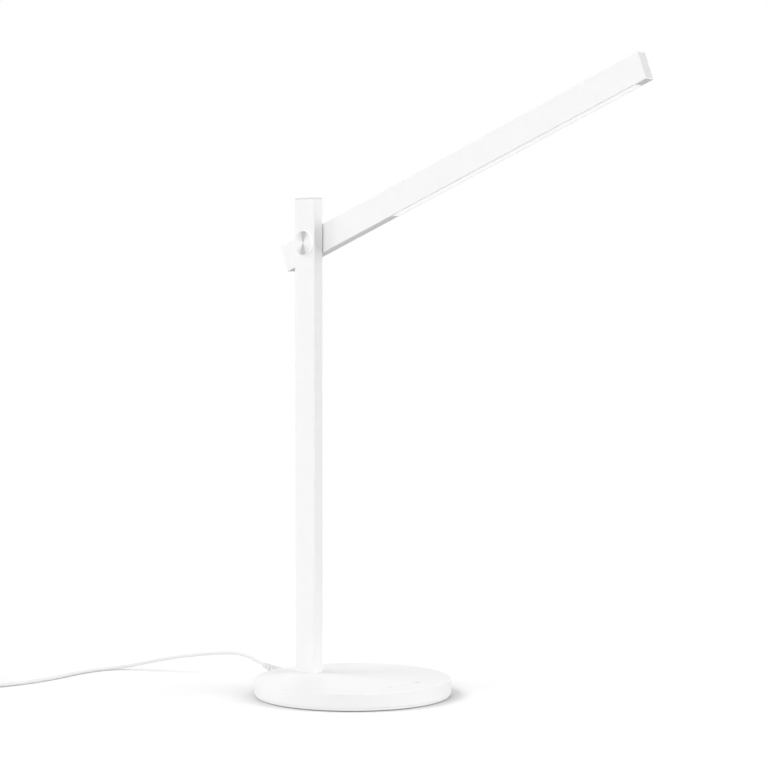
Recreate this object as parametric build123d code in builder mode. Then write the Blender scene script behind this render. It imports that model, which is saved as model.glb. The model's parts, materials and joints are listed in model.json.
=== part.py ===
from build123d import *
import math
import os

# A slim LED task lamp. A round weighted base carries an upright post of rectangular tube. A straight
# arm of the same tube tilts beside the post on a hollow friction pivot, and shines down through an opal
# strip in its underside. Millimetres. The origin is the middle of the base on the table, +X is the way
# the arm points, and +Z is up.

# Base shell and bottom cover
base_diameter = 160.0
base_height = 14.0
shell_wall = 2.2
shell_top = 2.4
shell_edge_radius = 0.8
shell_rim_chamfer = 0.4
cover_thickness = 1.8
cover_inset = 1.0
cover_edge_chamfer = 0.4
rim_height = 2.0
rim_width = 1.2
rim_clearance = 0.15

# Anti-slip pad let into the cover
foot_proud = 0.6
foot_recess = 0.8
foot_inset = 3.0
foot_clearance = 0.1

# Screws under the pad that hold the cover to the bosses of the shell
cover_screw_count = 4
cover_screw_inset = 16.0
cover_screw_diameter = 3.0
cover_screw_head = 4.8
cover_screw_length = 7.0
boss_diameter = 7.0
collar_diameter = 12.0
screw_clearance = 0.05
boss_clearance = 0.5
countersink_angle = 90.0
recess_length = 2.4
recess_width = 0.7
recess_depth = 0.9

# Ballast plate
ballast_thickness = 6.5
ballast_gap = 2.0
ballast_edge = 0.5
notch_width = 26.0
notch_depth = 14.0
lane_width = 5.0
lane_depth = 4.5
lane_offset = 9.0
branch_width = 4.0

# Touch board under the front of the shell
touch_inset = 24.0
touch_count = 3
touch_pitch = 15.0
touch_pad_diameter = 9.0
touch_pad_height = 4.8
board_length = 60.0
board_width = 20.0
board_thickness = 1.6
board_corner = 1.5
board_screw_spacing = 50.0
board_screw_diameter = 2.5
board_screw_head = 4.6
board_screw_head_height = 1.4
board_screw_length = 3.2
board_boss_diameter = 5.0
connector_length = 5.0
connector_width = 6.0
connector_height = 4.0
connector_space = 10.0

# Post
post_inset = 31.5
post_width = 22.0
post_depth = 10.0
post_wall = 1.2
post_top = 404.5
post_clearance = 0.15
tube_corner = 0.6

# Block in the foot of the post, and its screws
foot_block_height = 12.0
foot_block_clearance = 0.1
post_screw_spacing = 13.0
post_screw_diameter = 4.0
post_screw_head = 7.5
post_screw_length = 16.0
wire_hole = 4.4

# Caps on the ends of the tubes
cap_thickness = 1.5
cap_plug_length = 8.0
cap_plug_wall = 1.2
cap_plug_clearance = 0.1
cap_edge_radius = 0.35

# Pivot, a stack along Y
pivot_below_top = 37.0
pivot_gap = 1.0
sleeve_diameter = 8.0
sleeve_bore = 5.0
sleeve_flange_length = 16.0
sleeve_flange_thickness = 1.2
sleeve_end = 0.3
running_clearance = 0.04
fit_clearance = 0.05
bush_diameter = 11.0
bush_flange_diameter = 14.0
bush_flange_thickness = 0.6
friction_washer_diameter = 18.0
friction_washer_clearance = 0.1
thrust_washer_diameter = 15.0
thrust_washer_thickness = 0.6
spring_diameter = 14.0
spring_height = 1.0
spring_thickness = 0.5
nut_across_flats = 13.0
nut_thickness = 2.5
access_diameter = 16.0
disc_diameter = 20.5
disc_proud = 1.8
disc_chamfer = 0.5
disc_spigot_length = 0.9

# Arm, measured along its length from the pivot
arm_angle = 20.9
arm_height = 22.0
arm_depth = 10.0
arm_wall = 1.0
arm_back = 35.5
arm_front = 349.0
window_start = 86.0
window_end = 338.5

# Light strip in the arm
diffuser_face = 1.4
diffuser_leg = 0.8
diffuser_clearance = 0.08
led_board_drop = 2.0
led_board_thickness = 1.0
led_board_clearance = 0.2
led_board_end_gap = 1.0
carrier_wall = 0.8
led_count = 30
led_pitch = 8.2
led_length = 2.8
led_width = 3.5
led_height = 0.7

# Wires inside the lamp
lead_diameter = 2.0
wire_diameter = 1.6
lead_first_run = 5.2
wire_rise = 4.4
wire_meeting = 5.5
wire_bend_below_pivot = 17.5
wire_side_step = 2.6
wire_side_run = 10.0
arm_wire_drop_run = 10.0
arm_wire_end_run = 7.0

# Strain relief, beside the middle of the rear, bent up with the cord
relief_angle = 174.0
relief_height = 8.2
relief_length = 32.0
relief_bend = 13.6
relief_root_diameter = 9.2
relief_tip_diameter = 4.6
relief_section_count = 5
relief_seat_gap = 0.1
relief_shoulder_diameter = 10.0
relief_shoulder_thickness = 1.6
relief_neck_diameter = 5.4
relief_neck_clearance = 0.1
relief_flange_diameter = 6.6
relief_flange_thickness = 1.6
relief_flange_gap = 0.2
slot_count = 7
slot_pitch = 2.55
slot_width = 1.0
slot_first = 11.2
slot_core = 3.6
slot_reach = 3.0

# Cord: the free stretch's route after the strain relief, chosen by hand
cord_diameter = 3.0
cord_floor_gap = 0.05
cord_first_run = 9.0
cord_floor = cord_diameter / 2 + cord_floor_gap
cord_route = [
    (-128.5, 11.8, 17.0),
    (-139.0, 9.0, 19.3),
    (-152.5, 6.2, 18.9),
    (-168.0, 2.5, 17.1),
    (-184.5, -4.5, 14.7),
    (-202.0, -12.0, 11.5),
    (-218.0, -20.5, 7.7),
    (-233.0, -29.5, 3.6),
    (-244.0, -40.0, cord_floor),
    (-249.0, -57.0, cord_floor),
    (-248.0, -79.0, cord_floor),
    (-243.0, -104.0, cord_floor),
    (-241.0, -129.0, cord_floor),
    (-243.5, -152.0, cord_floor),
]
cord_last_run = 15.0
corner_share = 0.45

# Coil of the cord that is put away, with its tie
coil_start = (-251.5, -186.0)
coil_heading = 255.0
coil_inner_radius = 13.3
coil_gap = 0.5
coil_sides = 7
coil_bottom_half_turns = 7
coil_upper_half_turns = 4
tie_width = 8.0
tie_thickness = 0.6
tie_gap = 0.3
tie_corner = 2.5

# Tail of the cord, as steps along the coil's heading and down, and the plug on it
tail_steps = [8.0, 14.0, 14.0, 8.0]
tail_drops = [0.0, 0.4, 0.6, 0.0]
plug_width = 15.5
plug_height = 8.0
plug_length = 22.0
plug_corner = 2.0
plug_edge_radius = 0.8
plug_collar_length = 6.0
plug_collar_diameter = 5.6
plug_collar_tip = 4.2
plug_floor_gap = 0.1
usb_width = 12.0
usb_height = 4.5
usb_length = 18.5
usb_wall = 0.3
usb_window = 2.4
usb_window_spacing = 5.2
usb_window_back = 6.5
usb_tongue_thickness = 1.9
usb_tongue_clearance = 0.05
usb_tongue_setback = 1.0

# Levels and places that follow from these sizes
base_radius = base_diameter / 2
cover_top = foot_proud + cover_thickness
shell_inside_top = base_height - shell_top
shell_inside_radius = base_radius - shell_wall
cover_radius = base_radius - cover_inset
rim_radius = shell_inside_radius - rim_clearance
foot_radius = cover_radius - foot_inset
foot_top = foot_proud + foot_recess
screw_circle = base_radius - cover_screw_inset
screw_first_angle = 180.0 / cover_screw_count
ballast_top = cover_top + ballast_thickness
ballast_radius = rim_radius - rim_width - ballast_gap
touch_x = base_radius - touch_inset
board_top = shell_inside_top - touch_pad_height
board_bottom = board_top - board_thickness
board_rear = touch_x - board_width / 2
ballast_flat = board_rear - connector_space
post_x = post_inset - base_radius
pivot_z = post_top - pivot_below_top
tube_top = post_top - cap_thickness
post_front = -post_depth / 2
post_back = post_depth / 2
post_back_inside = post_back - post_wall
arm_near = post_back + pivot_gap
arm_near_inside = arm_near + arm_wall
arm_middle = arm_near + arm_depth / 2
arm_inside_height = arm_height - 2 * arm_wall
arm_inside_depth = arm_depth - 2 * arm_wall
window_length = window_end - window_start
led_board_start = window_start + led_board_end_gap
led_board_length = window_length - 2 * led_board_end_gap
led_board_width = arm_inside_depth - 2 * led_board_clearance
wire_level = cover_top + wire_rise / 2
connector_level = board_top + connector_height / 2
relief_radius = relief_length / math.radians(relief_bend)
relief_root = base_radius + relief_seat_gap
relief_flange_seat = relief_seat_gap + shell_wall + relief_flange_gap

up = Vector(0, 0, 1)
relief_out = Vector(math.cos(math.radians(relief_angle)), math.sin(math.radians(relief_angle)), 0)
arm_along = Vector(math.cos(math.radians(arm_angle)), 0, math.sin(math.radians(arm_angle)))
arm_normal = Vector(-arm_along.Z, 0, arm_along.X)
pivot_axis = Axis((post_x, 0, pivot_z), (0, 1, 0))

rear_bosses = [
    (screw_circle * math.cos(math.radians(angle)), screw_circle * math.sin(math.radians(angle)))
    for angle in (180 - screw_first_angle, 180 + screw_first_angle)
]
touch_places = [(touch_x, touch_pitch * (k - (touch_count - 1) / 2)) for k in range(touch_count)]
board_screw_places = [(touch_x, side * board_screw_spacing / 2) for side in (-1, 1)]
post_screw_places = [(post_x + side * post_screw_spacing / 2, 0) for side in (-1, 1)]


def facing_down(level):
    """Plane at a level, seen from below, for holes that are drilled upwards."""
    return Plane((0, 0, level), x_dir=(1, 0, 0), z_dir=(0, 0, -1))


def pivot_plane(y):
    """Plane square to the pivot, with its normal along +Y and its origin on the pivot's axis."""
    return Plane((post_x, y, pivot_z), x_dir=(1, 0, 0), z_dir=(0, 1, 0))


def arm_place(along, y=arm_middle, above=0.0):
    """Point in the arm: along it from the pivot, across the lamp, and above the arm's middle."""
    return Vector(post_x, y, pivot_z) + arm_along * along + arm_normal * above


def arm_section(along):
    """Plane square to the arm, with x across the lamp and y up through the arm."""
    return Plane(arm_place(along), x_dir=(0, 1, 0), z_dir=arm_along)


def arm_level(above):
    """Plane along the arm at a height in it, with x along the arm and y across the lamp."""
    return Plane(arm_place(0, above=above), x_dir=arm_along, z_dir=arm_normal)


def relief_plane(along):
    """Plane square to the bent axis of the strain relief, at a distance from its root."""
    turn = along / relief_radius
    reach = relief_root + relief_radius * math.sin(turn)
    level = relief_height + relief_radius * (1 - math.cos(turn))
    return Plane(
        relief_out * reach + up * level,
        x_dir=relief_out.cross(up),
        z_dir=relief_out * math.cos(turn) + up * math.sin(turn),
    )


def corner_radii(points):
    """Arc radius at each inner point of a route, as large as the two runs beside it allow."""
    radii = []
    for before, at, after in zip(points, points[1:], points[2:]):
        run_in = Vector(at) - Vector(before)
        run_out = Vector(after) - Vector(at)
        half_turn = math.radians(run_in.get_angle(run_out)) / 2
        radii.append(corner_share * min(run_in.length, run_out.length) / math.tan(half_turn))
    return radii


def routed_tube(points, diameter):
    """Round tube along straight runs joined by tangent arcs. Returns it with its path's length."""
    with BuildPart() as tube:
        with BuildLine() as path:
            FilletPolyline(*points, radius=corner_radii(points))
        with BuildSketch(Plane(points[0], z_dir=Vector(points[1]) - Vector(points[0]))):
            Circle(diameter / 2)
        sweep(path=path.wire())
    return tube.part, path.wire().length


def countersunk_screw(head, diameter, length):
    """Countersunk screw pointing up, with its head's flat face and cross recess at the origin."""
    head_height = (head - diameter) / 2 / math.tan(math.radians(countersink_angle / 2))
    with BuildPart() as screw:
        with BuildSketch(Plane.XZ):
            with BuildLine():
                Polyline(
                    (0, 0),
                    (head / 2, 0),
                    (diameter / 2, head_height),
                    (diameter / 2, length),
                    (0, length),
                    close=True,
                )
            make_face()
        revolve(axis=Axis.Z)
        with BuildSketch():
            Rectangle(recess_length, recess_width)
            Rectangle(recess_width, recess_length)
        extrude(amount=recess_depth, mode=Mode.SUBTRACT)
    return screw.part


def pivot_ring(start, thickness, outer, inner):
    """Flat ring round the pivot that runs from start along +Y."""
    with BuildPart() as ring:
        with BuildSketch(pivot_plane(start)):
            Circle(outer / 2)
            Circle(inner / 2, mode=Mode.SUBTRACT)
        extrude(amount=thickness)
    return ring.part


def end_cap(seat, across, high, wall):
    """Cap on a tube's end: a plate as wide as the tube, and a hollow plug inside it."""
    plug_across = across - 2 * (wall + cap_plug_clearance)
    plug_high = high - 2 * (wall + cap_plug_clearance)
    with BuildPart() as cap:
        with BuildSketch(seat):
            RectangleRounded(across, high, tube_corner)
        extrude(amount=cap_thickness)
        outer_face = cap.faces().sort_by(Axis(seat.origin, seat.z_dir))[-1]
        fillet(outer_face.edges(), cap_edge_radius)
        with BuildSketch(seat):
            Rectangle(plug_across, plug_high)
            Rectangle(plug_across - 2 * cap_plug_wall, plug_high - 2 * cap_plug_wall, mode=Mode.SUBTRACT)
        extrude(amount=-cap_plug_length)
    return cap.part


def flush_cap(end, across, high, wall):
    """Cap let into a tube's end: a hollow plug, tight between the upper and the lower wall."""
    plug_across = across - 2 * (wall + cap_plug_clearance)
    plug_high = high - 2 * wall
    with BuildPart() as cap:
        with BuildSketch(end):
            Rectangle(plug_across, plug_high)
        extrude(amount=-cap_thickness - cap_plug_length)
        with BuildSketch(end.offset(-cap_thickness)):
            Rectangle(plug_across - 2 * cap_plug_wall, plug_high - 2 * cap_plug_wall)
        extrude(amount=-cap_plug_length, mode=Mode.SUBTRACT)
    return cap.part


def save(shape, name):
    """Labels a finished piece and writes it."""
    shape.label = name
    export_step(shape, f"parts/{name}.step")


os.makedirs("parts", exist_ok=True)

# Base shell: a shallow cup, open below, with bosses for the screws
with BuildPart() as base_shell:
    with BuildSketch(Plane.XY.offset(cover_top)):
        Circle(base_radius)
    extrude(amount=base_height - cover_top)
    fillet(base_shell.edges().group_by(Axis.Z)[-1], shell_edge_radius)
    chamfer(base_shell.edges().group_by(Axis.Z)[0], shell_rim_chamfer)
    with BuildSketch(Plane.XY.offset(cover_top)):
        Circle(shell_inside_radius)
    extrude(amount=shell_inside_top - cover_top, mode=Mode.SUBTRACT)
    with BuildSketch(Plane.XY.offset(cover_top)):
        with PolarLocations(screw_circle, cover_screw_count, start_angle=screw_first_angle):
            Circle(boss_diameter / 2)
    extrude(amount=shell_inside_top - cover_top)
    # collars on the rear bosses hold the ballast down
    with BuildSketch(Plane.XY.offset(ballast_top)):
        with Locations(*rear_bosses):
            Circle(collar_diameter / 2)
    extrude(amount=shell_inside_top - ballast_top)
    with BuildSketch(Plane.XY.offset(board_top)):
        with Locations(*board_screw_places):
            Circle(board_boss_diameter / 2)
    extrude(amount=touch_pad_height)
    with BuildSketch(Plane.XY.offset(cover_top)):
        with PolarLocations(screw_circle, cover_screw_count, start_angle=screw_first_angle):
            Circle(cover_screw_diameter / 2 + screw_clearance)
    extrude(amount=foot_top + cover_screw_length - cover_top + screw_clearance, mode=Mode.SUBTRACT)
    with BuildSketch(Plane.XY.offset(board_top)):
        with Locations(*board_screw_places):
            Circle(board_screw_diameter / 2 + screw_clearance)
    extrude(amount=board_screw_length - board_thickness + screw_clearance, mode=Mode.SUBTRACT)
    # opening that the post comes up through
    with BuildSketch(Plane.XY.offset(shell_inside_top)):
        with Locations((post_x, 0)):
            RectangleRounded(
                post_width + 2 * post_clearance,
                post_depth + 2 * post_clearance,
                tube_corner + post_clearance,
            )
    extrude(amount=shell_top, mode=Mode.SUBTRACT)
    # hole in the rear wall for the strain relief
    with BuildSketch(relief_plane(0)):
        Circle(relief_neck_diameter / 2 + relief_neck_clearance)
    extrude(amount=-2 * shell_wall, mode=Mode.SUBTRACT)
save(base_shell.part, "base_shell")

# Bottom cover: a disc with a rim that finds the shell, and a recess for the anti-slip pad
with BuildPart() as bottom_cover:
    with BuildSketch(Plane.XY.offset(foot_proud)):
        Circle(cover_radius)
    extrude(amount=cover_thickness)
    chamfer(bottom_cover.edges().group_by(Axis.Z)[0], cover_edge_chamfer)
    with BuildSketch(Plane.XY.offset(cover_top)):
        Circle(rim_radius)
        Circle(rim_radius - rim_width, mode=Mode.SUBTRACT)
    extrude(amount=rim_height)
    with BuildSketch(Plane.XY.offset(foot_proud)):
        Circle(foot_radius + foot_clearance)
    extrude(amount=foot_recess, mode=Mode.SUBTRACT)
    with Locations(facing_down(foot_top)):
        with PolarLocations(screw_circle, cover_screw_count, start_angle=screw_first_angle):
            CounterSinkHole(
                cover_screw_diameter / 2 + screw_clearance,
                cover_screw_head / 2 + screw_clearance,
                depth=cover_thickness - foot_recess,
                counter_sink_angle=countersink_angle,
            )
save(bottom_cover.part, "bottom_cover")

# Anti-slip pad that the lamp stands on
with BuildPart() as foot_pad:
    with BuildSketch():
        Circle(foot_radius)
    extrude(amount=foot_top)
save(foot_pad.part, "foot_pad")

# Screws of the bottom cover
cover_screw = countersunk_screw(cover_screw_head, cover_screw_diameter, cover_screw_length)
with BuildPart() as cover_screws:
    with Locations((0, 0, foot_top)):
        with PolarLocations(screw_circle, cover_screw_count, start_angle=screw_first_angle):
            add(cover_screw)
save(cover_screws.part, "cover_screws")

# Ballast plate: an iron disc, flat at the front and notched at the rear, with lanes for the wires below
with BuildPart() as ballast_plate:
    with BuildSketch(Plane.XY.offset(cover_top)):
        Circle(ballast_radius)
        with Locations((ballast_flat, 0)):
            Rectangle(base_diameter, base_diameter, align=(Align.MIN, Align.CENTER), mode=Mode.SUBTRACT)
        with Locations((-ballast_radius, 0)):
            Rectangle(2 * notch_depth, notch_width, mode=Mode.SUBTRACT)
    extrude(amount=ballast_thickness)
    chamfer(ballast_plate.edges().group_by(Axis.Z)[-1], ballast_edge)
    with BuildSketch(Plane.XY.offset(cover_top)):
        with Locations(*rear_bosses):
            Circle(boss_diameter / 2 + boss_clearance)
        with Locations((post_x, 0)):
            Circle(wire_hole / 2)
    extrude(amount=ballast_thickness, mode=Mode.SUBTRACT)
    with BuildSketch(Plane.XY.offset(cover_top)):
        for side in (-1, 1):
            with Locations((ballast_flat, side * lane_offset)):
                Rectangle(
                    ballast_flat + ballast_radius - notch_depth, lane_width, align=(Align.MAX, Align.CENTER)
                )
        with Locations((post_x, 0)):
            Rectangle(branch_width, lane_offset, align=(Align.CENTER, Align.MAX))
    extrude(amount=lane_depth, mode=Mode.SUBTRACT)
    with Locations(facing_down(cover_top)):
        with Locations(*post_screw_places):
            CounterSinkHole(
                post_screw_diameter / 2 + screw_clearance,
                post_screw_head / 2 + screw_clearance,
                depth=ballast_thickness,
                counter_sink_angle=countersink_angle,
            )
save(ballast_plate.part, "ballast_plate")

# Touch board with its electrodes, connectors and screws
with BuildPart() as touch_board:
    with BuildSketch(Plane.XY.offset(board_bottom)):
        with Locations((touch_x, 0)):
            RectangleRounded(board_width, board_length, board_corner)
        with Locations(*board_screw_places):
            Circle(board_screw_diameter / 2 + screw_clearance, mode=Mode.SUBTRACT)
    extrude(amount=board_thickness)
save(touch_board.part, "touch_board")

with BuildPart() as touch_pads:
    with BuildSketch(Plane.XY.offset(board_top)):
        with Locations(*touch_places):
            Circle(touch_pad_diameter / 2)
    extrude(amount=touch_pad_height)
save(touch_pads.part, "touch_pads")

with BuildPart() as board_connectors:
    with BuildSketch(Plane.XY.offset(board_top)):
        with Locations((board_rear, -lane_offset), (board_rear, lane_offset)):
            Rectangle(connector_length, connector_width, align=(Align.MIN, Align.CENTER))
    extrude(amount=connector_height)
save(board_connectors.part, "board_connectors")

with BuildPart() as board_screws:
    with BuildSketch(Plane.XY.offset(board_bottom)):
        with Locations(*board_screw_places):
            Circle(board_screw_head / 2)
    extrude(amount=-board_screw_head_height)
    with BuildSketch(Plane.XY.offset(board_bottom)):
        with Locations(*board_screw_places):
            Circle(board_screw_diameter / 2)
    extrude(amount=board_screw_length)
save(board_screws.part, "board_screws")

# Post: a rectangular tube that stands on the ballast
with BuildPart() as post_tube:
    with BuildSketch(Plane.XY.offset(ballast_top)):
        with Locations((post_x, 0)):
            RectangleRounded(post_width, post_depth, tube_corner)
            Rectangle(post_width - 2 * post_wall, post_depth - 2 * post_wall, mode=Mode.SUBTRACT)
    extrude(amount=tube_top - ballast_top)
    with BuildSketch(pivot_plane(post_back_inside)):
        Circle(bush_diameter / 2 + fit_clearance)
    extrude(amount=post_wall, mode=Mode.SUBTRACT)
    with BuildSketch(pivot_plane(post_front)):
        Circle(access_diameter / 2)
    extrude(amount=post_wall, mode=Mode.SUBTRACT)
save(post_tube.part, "post_tube")

post_cap = end_cap(Plane((post_x, 0, tube_top)), post_width, post_depth, post_wall)
save(post_cap, "post_cap")

# Block in the foot of the post that takes the screws, with a hole for the wire
with BuildPart() as post_foot:
    with BuildSketch(Plane.XY.offset(ballast_top)):
        with Locations((post_x, 0)):
            Rectangle(
                post_width - 2 * (post_wall + foot_block_clearance),
                post_depth - 2 * (post_wall + foot_block_clearance),
            )
            Circle(wire_hole / 2, mode=Mode.SUBTRACT)
        with Locations(*post_screw_places):
            Circle(post_screw_diameter / 2 + screw_clearance, mode=Mode.SUBTRACT)
    extrude(amount=foot_block_height)
save(post_foot.part, "post_foot")

post_screw = countersunk_screw(post_screw_head, post_screw_diameter, post_screw_length)
with BuildPart() as post_screws:
    with Locations((0, 0, cover_top)):
        with Locations(*post_screw_places):
            add(post_screw)
save(post_screws.part, "post_screws")

# Pivot: the washers and the nut draw the sleeve's flange in the arm and the post's wall together
bush_bore = sleeve_diameter + 2 * running_clearance
with BuildPart() as pivot_bush:
    add(pivot_ring(post_back_inside, post_wall, bush_diameter, bush_bore))
    add(pivot_ring(post_back_inside, -bush_flange_thickness, bush_flange_diameter, bush_bore))
save(pivot_bush.part, "pivot_bush")

friction_washer = pivot_ring(
    post_back, pivot_gap, friction_washer_diameter, sleeve_diameter + 2 * friction_washer_clearance
)
save(friction_washer, "friction_washer")

thrust_start = post_back_inside - bush_flange_thickness
thrust_washer = pivot_ring(
    thrust_start, -thrust_washer_thickness, thrust_washer_diameter, sleeve_diameter + 2 * fit_clearance
)
save(thrust_washer, "thrust_washer")

# conical spring washer: its outer edge bears on the thrust washer, and its inner edge on the nut
spring_start = thrust_start - thrust_washer_thickness
nut_start = spring_start - spring_height
spring_bore = sleeve_diameter / 2 + fit_clearance
with BuildPart() as spring_washer:
    with BuildSketch(Plane((post_x, 0, pivot_z), x_dir=(0, 0, 1), z_dir=(-1, 0, 0))):
        with BuildLine():
            Polyline(
                (spring_bore, nut_start),
                (spring_bore, nut_start + spring_thickness),
                (spring_diameter / 2, spring_start),
                (spring_diameter / 2, spring_start - spring_thickness),
                close=True,
            )
        make_face()
    revolve(axis=pivot_axis)
save(spring_washer.part, "spring_washer")

with BuildPart() as pivot_nut:
    with BuildSketch(pivot_plane(nut_start)):
        RegularPolygon(nut_across_flats / 2, 6, major_radius=False)
        Circle(sleeve_diameter / 2 + fit_clearance, mode=Mode.SUBTRACT)
    extrude(amount=-nut_thickness)
save(pivot_nut.part, "pivot_nut")

# Hollow shaft: its flange fits between the arm's walls, so that it turns with the arm
sleeve_tip = nut_start - nut_thickness - sleeve_end
with BuildPart() as pivot_sleeve:
    with BuildSketch(pivot_plane(sleeve_tip)):
        Circle(sleeve_diameter / 2)
    extrude(amount=arm_near_inside - sleeve_tip)
    with BuildSketch(Plane((post_x, arm_near_inside, pivot_z), x_dir=arm_along, z_dir=(0, 1, 0))):
        Rectangle(sleeve_flange_length, arm_inside_height - 2 * fit_clearance)
    extrude(amount=sleeve_flange_thickness)
    with BuildSketch(pivot_plane(sleeve_tip)):
        Circle(sleeve_bore / 2)
    extrude(amount=arm_near_inside + sleeve_flange_thickness - sleeve_tip, mode=Mode.SUBTRACT)
save(pivot_sleeve.part, "pivot_sleeve")

# Turned disc that closes the access hole in the front of the post
with BuildPart() as pivot_disc:
    with BuildSketch(pivot_plane(post_front)):
        Circle(disc_diameter / 2)
    extrude(amount=-disc_proud)
    chamfer(pivot_disc.edges().group_by(Axis.Y)[0], disc_chamfer)
    with BuildSketch(pivot_plane(post_front)):
        Circle(access_diameter / 2 - fit_clearance)
    extrude(amount=disc_spigot_length)
save(pivot_disc.part, "pivot_disc")

# Arm: a rectangular tube with a window along its underside
with BuildPart() as arm_tube:
    with BuildSketch(arm_section(-arm_back)):
        RectangleRounded(arm_depth, arm_height, tube_corner)
        Rectangle(arm_inside_depth, arm_inside_height, mode=Mode.SUBTRACT)
    extrude(amount=arm_back + arm_front)
    with BuildSketch(arm_level(-arm_height / 2)):
        with Locations(((window_start + window_end) / 2, 0)):
            Rectangle(window_length, arm_inside_depth)
    extrude(amount=arm_wall, mode=Mode.SUBTRACT)
    with BuildSketch(pivot_plane(arm_near)):
        Circle(sleeve_diameter / 2 + fit_clearance)
    extrude(amount=arm_wall, mode=Mode.SUBTRACT)
save(arm_tube.part, "arm_tube")

front_end = arm_section(arm_front)
rear_end = Plane(arm_place(-arm_back), x_dir=(0, 1, 0), z_dir=-arm_along)
for name, end in (("arm_front_cap", front_end), ("arm_rear_cap", rear_end)):
    save(flush_cap(end, arm_depth, arm_height, arm_wall), name)

# Light strip: a channel under the arm's upper wall carries the board, which the diffuser's legs meet
with BuildPart() as led_carrier:
    with BuildSketch(arm_section(led_board_start)):
        with Locations((0, -led_board_drop + led_board_thickness)):
            Rectangle(
                led_board_width,
                arm_inside_height / 2 + led_board_drop - led_board_thickness,
                align=(Align.CENTER, Align.MIN),
            )
        with Locations((0, -led_board_drop + led_board_thickness + carrier_wall)):
            Rectangle(
                led_board_width - 2 * carrier_wall,
                arm_inside_height,
                align=(Align.CENTER, Align.MIN),
                mode=Mode.SUBTRACT,
            )
    extrude(amount=led_board_length)
save(led_carrier.part, "led_carrier")

with BuildPart() as led_board:
    with BuildSketch(arm_level(-led_board_drop)):
        with Locations((led_board_start, 0)):
            Rectangle(led_board_length, led_board_width, align=(Align.MIN, Align.CENTER))
    extrude(amount=led_board_thickness)
save(led_board.part, "led_board")

with BuildPart() as leds:
    with BuildSketch(arm_level(-led_board_drop)):
        with Locations(((window_start + window_end) / 2, 0)):
            with GridLocations(led_pitch, 0, led_count, 1):
                Rectangle(led_length, led_width)
    extrude(amount=-led_height)
save(leds.part, "leds")

diffuser_width = arm_inside_depth - 2 * diffuser_clearance
with BuildPart() as diffuser:
    with BuildSketch(arm_section(window_start + diffuser_clearance)):
        with Locations((0, -arm_height / 2)):
            Rectangle(diffuser_width, arm_height / 2 - led_board_drop, align=(Align.CENTER, Align.MIN))
        with Locations((0, diffuser_face - arm_height / 2)):
            Rectangle(
                diffuser_width - 2 * diffuser_leg,
                arm_height,
                align=(Align.CENTER, Align.MIN),
                mode=Mode.SUBTRACT,
            )
    extrude(amount=window_length - 2 * diffuser_clearance)
save(diffuser.part, "diffuser")

# Wires: from the board up the post into the sleeve, from there to the light strip, and from the cord
post_wire_side = -wire_side_step
wire_step_top = pivot_z - wire_bend_below_pivot
post_wire, _ = routed_tube(
    [
        (board_rear, -lane_offset, connector_level),
        (board_rear - connector_space / 2, -lane_offset, connector_level),
        (ballast_flat, -lane_offset, wire_level),
        (post_x, -lane_offset, wire_level),
        (post_x, 0, wire_level),
        (post_x, 0, wire_step_top - wire_side_run),
        (post_x, post_wire_side, wire_step_top),
        (post_x, post_wire_side, pivot_z),
        (post_x, wire_meeting, pivot_z),
    ],
    wire_diameter,
)
save(post_wire, "post_wire")

wire_end_level = led_board_thickness / 2 - led_board_drop
arm_wire, _ = routed_tube(
    [
        arm_place(0, wire_meeting),
        arm_place(0),
        arm_place(led_board_start - arm_wire_end_run - arm_wire_drop_run),
        arm_place(led_board_start - arm_wire_end_run, above=wire_end_level),
        arm_place(led_board_start, above=wire_end_level),
    ],
    wire_diameter,
)
save(arm_wire, "arm_wire")

lead_seat = relief_plane(0).offset(-relief_flange_seat - relief_flange_thickness)
notch_end = notch_depth - ballast_radius
inner_lead, _ = routed_tube(
    [
        lead_seat.origin,
        lead_seat.origin - lead_seat.z_dir * lead_first_run,
        (notch_end, lane_offset, wire_level),
        (ballast_flat, lane_offset, wire_level),
        (board_rear - connector_space / 2, lane_offset, connector_level),
        (board_rear, lane_offset, connector_level),
    ],
    lead_diameter,
)
save(inner_lead, "inner_lead")

# Strain relief: a tapered sleeve that bends up with the cord, slotted from alternate sides to flex
with BuildPart() as strain_relief:
    for k in range(relief_section_count):
        share = k / (relief_section_count - 1)
        with BuildSketch(relief_plane(share * relief_length)):
            Circle((relief_root_diameter + share * (relief_tip_diameter - relief_root_diameter)) / 2)
    loft(ruled=True)
    for k in range(slot_count):
        with BuildSketch(relief_plane(slot_first + k * slot_pitch)):
            with Locations(Location((0, 0), 90 * (k % 2))):
                with GridLocations(slot_core + slot_reach, 0, 2, 1):
                    Rectangle(slot_reach, 2 * slot_reach + slot_core)
        extrude(amount=slot_width / 2, both=True, mode=Mode.SUBTRACT)
    with BuildSketch(relief_plane(0)):
        Circle(relief_shoulder_diameter / 2)
    extrude(amount=relief_shoulder_thickness)
    with BuildSketch(relief_plane(0)):
        Circle(relief_neck_diameter / 2)
    extrude(amount=-relief_flange_seat)
    with BuildSketch(relief_plane(0).offset(-relief_flange_seat)):
        Circle(relief_flange_diameter / 2)
    extrude(amount=-relief_flange_thickness)
save(strain_relief.part, "strain_relief")

# Coil: half turns that spiral in and out again by half a pitch each, in layers
coil_pitch = cord_diameter + coil_gap
coil_level = cord_diameter / 2 + tie_thickness + tie_gap + cord_floor_gap
coil_along = Vector(math.cos(math.radians(coil_heading)), math.sin(math.radians(coil_heading)), 0)
inward = range(coil_bottom_half_turns, 0, -1)
outward = range(1, coil_upper_half_turns)
half_turns = [(step, 0) for step in inward]
half_turns += [(0, 1)] + [(step, 0) for step in outward]
half_turns += [(coil_upper_half_turns, 1)] + [(step, 0) for step in reversed(outward)]
half_turns += [(0, 1)] + [(step, 0) for step in outward]
half_turns += [(coil_upper_half_turns, 0)]
coil_layers = 1 + sum(climb for step, climb in half_turns)

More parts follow.
